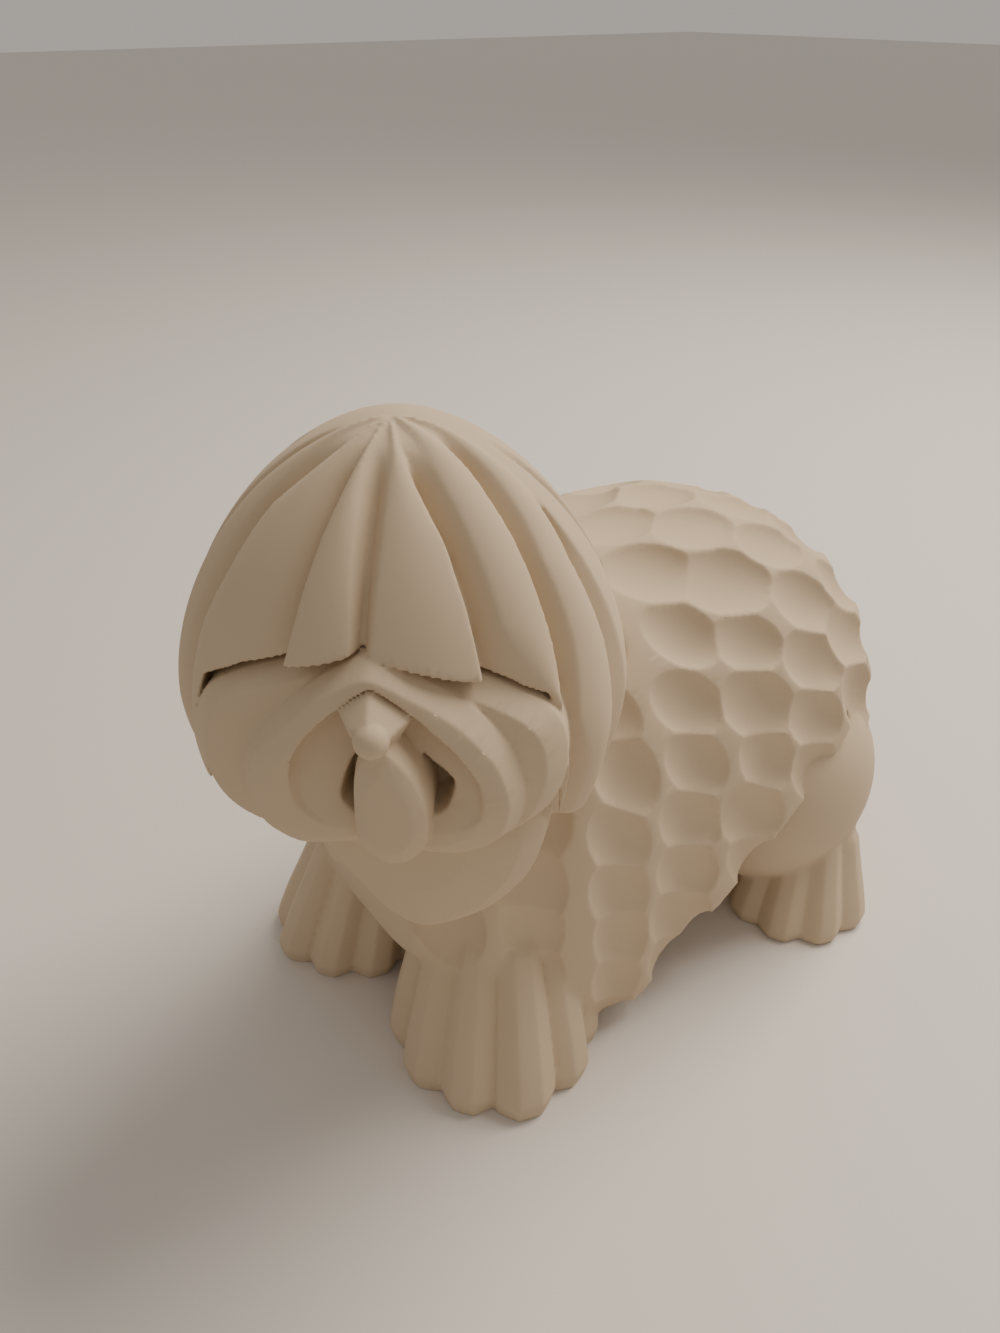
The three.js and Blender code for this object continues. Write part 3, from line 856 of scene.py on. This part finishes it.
@dataclass
class GougeMarks:
    """Strokes of a round gouge, one at each point laid over the coat."""

    sides: int = 24

    def tree(self) -> bpy.types.NodeTree:
        """The node tree that turns laid points into the gouge's strokes."""
        tree = bpy.data.node_groups.new("Gouge_Marks", "GeometryNodeTree")
        face = tree.interface
        face.new_socket("Points", in_out="INPUT", socket_type="NodeSocketGeometry")
        for name in ("Mark Length", "Mark Width", "Mark Depth", "Unevenness"):
            face.new_socket(name, in_out="INPUT", socket_type="NodeSocketFloat")
        for name in ("Sides", "Seed"):
            face.new_socket(name, in_out="INPUT", socket_type="NodeSocketInt")
        face.new_socket("Material", in_out="INPUT", socket_type="NodeSocketMaterial")
        face.new_socket("Marks", in_out="OUTPUT", socket_type="NodeSocketGeometry")
        nodes, links = tree.nodes, tree.links
        given = nodes.new("NodeGroupInput")
        result = nodes.new("NodeGroupOutput")
        points = nodes.new("GeometryNodeMeshToPoints")
        ball = nodes.new("GeometryNodeMeshUVSphere")
        ball.inputs["Radius"].default_value = 1.0
        shape = nodes.new("GeometryNodeTransform")
        scale = nodes.new("ShaderNodeCombineXYZ")
        for socket, name in zip(("X", "Y", "Z"), ("Mark Length", "Mark Width", "Mark Depth")):
            links.new(given.outputs[name], scale.inputs[socket])
        links.new(scale.outputs[0], shape.inputs["Scale"])
        links.new(given.outputs["Sides"], ball.inputs["Segments"])
        links.new(given.outputs["Sides"], ball.inputs["Rings"])
        links.new(ball.outputs["Mesh"], shape.inputs["Geometry"])
        turn = None
        for name, axis in (("run", "X"), ("rise", "Z")):
            read = nodes.new("GeometryNodeInputNamedAttribute")
            read.data_type = "FLOAT_VECTOR"
            read.inputs["Name"].default_value = name
            align = nodes.new("FunctionNodeAlignRotationToVector")
            align.axis = axis
            align.pivot_axis = "AUTO" if turn is None else "X"
            links.new(read.outputs["Attribute"], align.inputs["Vector"])
            if turn is not None:
                links.new(turn.outputs["Rotation"], align.inputs["Rotation"])
            turn = align
        size = nodes.new("GeometryNodeInputNamedAttribute")
        size.data_type = "FLOAT"
        size.inputs["Name"].default_value = "size"
        low = nodes.new("ShaderNodeMath")
        low.operation = "SUBTRACT"
        low.inputs[0].default_value = 1.0
        high = nodes.new("ShaderNodeMath")
        high.operation = "ADD"
        high.inputs[0].default_value = 1.0
        chance = nodes.new("FunctionNodeRandomValue")
        chance.data_type = "FLOAT"
        product = nodes.new("ShaderNodeMath")
        product.operation = "MULTIPLY"
        links.new(given.outputs["Unevenness"], low.inputs[1])
        links.new(given.outputs["Unevenness"], high.inputs[1])
        links.new(low.outputs[0], chance.inputs[2])
        links.new(high.outputs[0], chance.inputs[3])
        links.new(given.outputs["Seed"], chance.inputs["Seed"])
        links.new(chance.outputs[1], product.inputs[0])
        links.new(size.outputs["Attribute"], product.inputs[1])
        place = nodes.new("GeometryNodeInstanceOnPoints")
        links.new(given.outputs["Points"], points.inputs["Mesh"])
        links.new(points.outputs["Points"], place.inputs["Points"])
        links.new(shape.outputs["Geometry"], place.inputs["Instance"])
        links.new(turn.outputs["Rotation"], place.inputs["Rotation"])
        links.new(product.outputs[0], place.inputs["Scale"])
        real = nodes.new("GeometryNodeRealizeInstances")
        dress = nodes.new("GeometryNodeSetMaterial")
        links.new(place.outputs["Instances"], real.inputs["Geometry"])
        links.new(real.outputs["Geometry"], dress.inputs["Geometry"])
        links.new(given.outputs["Material"], dress.inputs["Material"])
        links.new(dress.outputs["Geometry"], result.inputs["Marks"])
        return tree

    def cut(self, coat: Coat, material: bpy.types.Material) -> Skin:
        """Strokes of the gouge over a coat.

        Args:
            coat: The coat that says where the marks go.
            material: Bare clay, which the cut faces show.

        Returns:
            All strokes as one skin, in the dog's frame.
        """
        marks = coat.marks()
        mesh = bpy.data.meshes.new("gouge_points")
        mesh.from_pydata([tuple((m[0] + PLACE)) for m in marks], [], [])
        for name, column in (("run", 1), ("rise", 2)):
            values = mesh.attributes.new(name, "FLOAT_VECTOR", "POINT")
            values.data.foreach_set("vector", np.array([m[column] for m in marks], np.float32).ravel())
        sizes = mesh.attributes.new("size", "FLOAT", "POINT")
        sizes.data.foreach_set("value", np.array([m[3] for m in marks], np.float32))
        holder = bpy.data.objects.new("gouge_points", mesh)
        bpy.context.scene.collection.objects.link(holder)
        given = {"Mark Length": coat.mark_length / 2.0, "Mark Width": coat.mark_width / 2.0,
                 "Mark Depth": coat.mark_depth * 1.7, "Unevenness": 0.03, "Sides": self.sides,
                 "Seed": 7, "Material": material}
        skin = skin_from_tree(holder, self.tree(), given)
        bpy.data.objects.remove(holder)
        return skin


def skin_from_tree(holder: bpy.types.Object, tree: bpy.types.NodeTree, given: dict) -> Skin:
    """Runs a node tree on an object and takes its plain result.

    Args:
        holder: Object whose mesh the tree reads.
        tree: The node tree.
        given: The tree's inputs by name.

    Returns:
        The resulting surface.
    """
    step = holder.modifiers.new(tree.name, "NODES")
    step.node_group = tree
    for item in tree.interface.items_tree:
        if item.item_type == "SOCKET" and item.in_out == "INPUT" and item.name in given:
            step[item.identifier] = given[item.name]
    graph = bpy.context.evaluated_depsgraph_get()
    plain = bpy.data.meshes.new_from_object(holder.evaluated_get(graph))
    holder.modifiers.remove(step)
    points = np.empty(len(plain.vertices) * 3, np.float32)
    plain.vertices.foreach_get("co", points)
    plain.calc_loop_triangles()
    corners = np.empty(len(plain.loop_triangles) * 3, np.int32)
    plain.loop_triangles.foreach_get("vertices", corners)
    bpy.data.meshes.remove(plain)
    empty = np.zeros((0, 4), np.uint32)
    return Skin(points.reshape(-1, 3).astype(float), empty, corners.reshape(-1, 3).astype(np.uint32))


# The whole dog

@dataclass
class Sheepdog:
    """All forms of the dog, laid together as one piece of clay."""

    hood: Hood = field(default_factory=Hood)
    face: Face = field(default_factory=Face)
    ruff: Ruff = field(default_factory=Ruff)
    coat: Coat = field(default_factory=Coat)
    underbody: Underbody = field(default_factory=Underbody)
    feet: tuple[Foot, ...] = FEET
    step: float = 0.3
    most_triangles: int = 190000

    def model(self, material: bpy.types.Material) -> ClayBlock:
        """Lays and carves the block of clay."""
        low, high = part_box(NODE)
        step = self.step
        block = ClayBlock(np.array(low) / MM - 2.0, np.array(high) / MM + 2.0, step)
        block.lay("coat", self.coat.build(block, GougeMarks().cut(self.coat, material)))
        LOG.info("coat laid")
        self.underbody.build(block)
        for foot in self.feet:
            block.lay(foot.name, foot.build(block), fillet=0.8)
        LOG.info("feet laid")
        block.lay("ruff", self.ruff.build(block), fillet=0.5)
        block.lay("hood", self.hood.build(block))
        self.face.build(block)
        block.stand()
        LOG.info("head laid")
        return block

    def mesh(self, block: ClayBlock) -> bpy.types.Mesh:
        """The block's surface as a mesh in metres, thinned to the triangles allowed."""
        skin = block.skin()
        LOG.info("surface of %d quads", len(skin.quads))
        mesh = bpy.data.meshes.new(PIECE)
        mesh.vertices.add(len(skin.points))
        mesh.vertices.foreach_set("co", (skin.points * MM).astype(np.float32).ravel())
        corners = skin.quads[:, ::-1].astype(np.int32)
        mesh.loops.add(corners.size)
        mesh.loops.foreach_set("vertex_index", corners.ravel())
        mesh.polygons.add(len(corners))
        mesh.polygons.foreach_set("loop_start", np.arange(0, corners.size, 4, dtype=np.int32))
        mesh.update(calc_edges=True)
        mesh.validate()
        return mesh

    def thinned(self, piece: bpy.types.Object) -> None:
        """Brings the piece under the most triangles that it may have."""
        mesh = piece.data
        count = sum(1 for _ in mesh.polygons) * 2
        if count <= self.most_triangles:
            return
        thin = piece.modifiers.new("thin", "DECIMATE")
        thin.ratio = self.most_triangles / count
        graph = bpy.context.evaluated_depsgraph_get()
        piece.data = bpy.data.meshes.new_from_object(piece.evaluated_get(graph))
        piece.modifiers.remove(thin)
        bpy.data.meshes.remove(mesh)

    def build(self, material: bpy.types.Material) -> bpy.types.Object:
        """The finished piece of clay."""
        block = self.model(material)
        piece = bpy.data.objects.new(PIECE, self.mesh(block))
        bpy.context.scene.collection.objects.link(piece)
        self.thinned(piece)
        piece.data.name = PIECE
        piece.data.materials.clear()
        piece.data.materials.append(material)
        piece.data.polygons.foreach_set("use_smooth", [True] * len(piece.data.polygons))
        LOG.info("%s: %d faces", PIECE, len(piece.data.polygons))
        return piece


def clay_material() -> bpy.types.Material:
    """Bare clay."""
    material = bpy.data.materials.new("bare_clay")
    material.use_nodes = True
    shader = material.node_tree.nodes["Principled BSDF"]
    shader.inputs["Base Color"].default_value = (0.58, 0.46, 0.32, 1.0)
    shader.inputs["Roughness"].default_value = 0.85
    return material


@dataclass
class Studio:
    """Pale table, soft lights and the camera."""

    camera: tuple[float, float, float] = (104.5, -87.3, 139.0)
    azimuth: float = 54.0
    pitch: float = 33.0
    focal: float = 1.05

    def build(self) -> None:
        """Sets up the stage, the lights and the camera."""
        self.floor()
        self.lights()
        self.viewpoint()

    def forward(self) -> Vector:
        """Direction in which the camera looks."""
        a, p = math.radians(self.azimuth), math.radians(self.pitch)
        return Vector((-math.sin(a) * math.cos(p), math.cos(a) * math.cos(p), -math.sin(p)))

    def viewpoint(self) -> None:
        """Places the camera."""
        data = bpy.data.cameras.new("camera")
        data.sensor_fit = "HORIZONTAL"
        data.sensor_width = 36.0
        data.lens = 36.0 * self.focal
        data.clip_start = 0.005
        camera = bpy.data.objects.new("camera", data)
        camera.location = Vector(self.camera) * MM
        camera.rotation_euler = self.forward().to_track_quat("-Z", "Y").to_euler()
        bpy.context.scene.collection.objects.link(camera)
        bpy.context.scene.camera = camera

    def floor(self) -> None:
        """Lays the table top."""
        mesh = bpy.data.meshes.new("table_top")
        mesh.from_pydata([(-3, -3, 0), (3, -3, 0), (3, 3, 0), (-3, 3, 0)], [], [(0, 1, 2, 3)])
        floor = bpy.data.objects.new("table_top", mesh)
        bpy.context.scene.collection.objects.link(floor)
        material = bpy.data.materials.new("table_white")
        material.use_nodes = True
        shader = material.node_tree.nodes["Principled BSDF"]
        shader.inputs["Base Color"].default_value = (0.72, 0.68, 0.64, 1.0)
        shader.inputs["Roughness"].default_value = 0.6
        floor.data.materials.append(material)

    def lights(self) -> None:
        """Hangs the soft lights."""
        world = bpy.context.scene.world or bpy.data.worlds.new("studio")
        bpy.context.scene.world = world
        world.use_nodes = True
        world.node_tree.nodes["Background"].inputs[0].default_value = (1.0, 0.93, 0.85, 1.0)
        world.node_tree.nodes["Background"].inputs[1].default_value = 0.45
        data = bpy.data.lights.new("lamp", "AREA")
        data.size = 0.35
        data.energy = 4.0
        data.color = (1.0, 0.9, 0.78)
        lamp = bpy.data.objects.new("lamp", data)
        lamp.location = (0.0, 0.35, 0.5)
        lamp.rotation_euler = (Vector((0, 0, 0.04)) - lamp.location).to_track_quat("-Z", "Y").to_euler()
        bpy.context.scene.collection.objects.link(lamp)


def main() -> None:
    """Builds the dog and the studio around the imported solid."""
    logging.basicConfig(level=logging.INFO, format="%(name)s: %(message)s")
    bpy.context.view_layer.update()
    Studio().build()
    dog = Sheepdog().build(clay_material())
    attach(dog, "root")
    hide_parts(NODE)
    LOG.info("piece %s rides on root", dog.name)


if __name__ == "__main__":
    main()
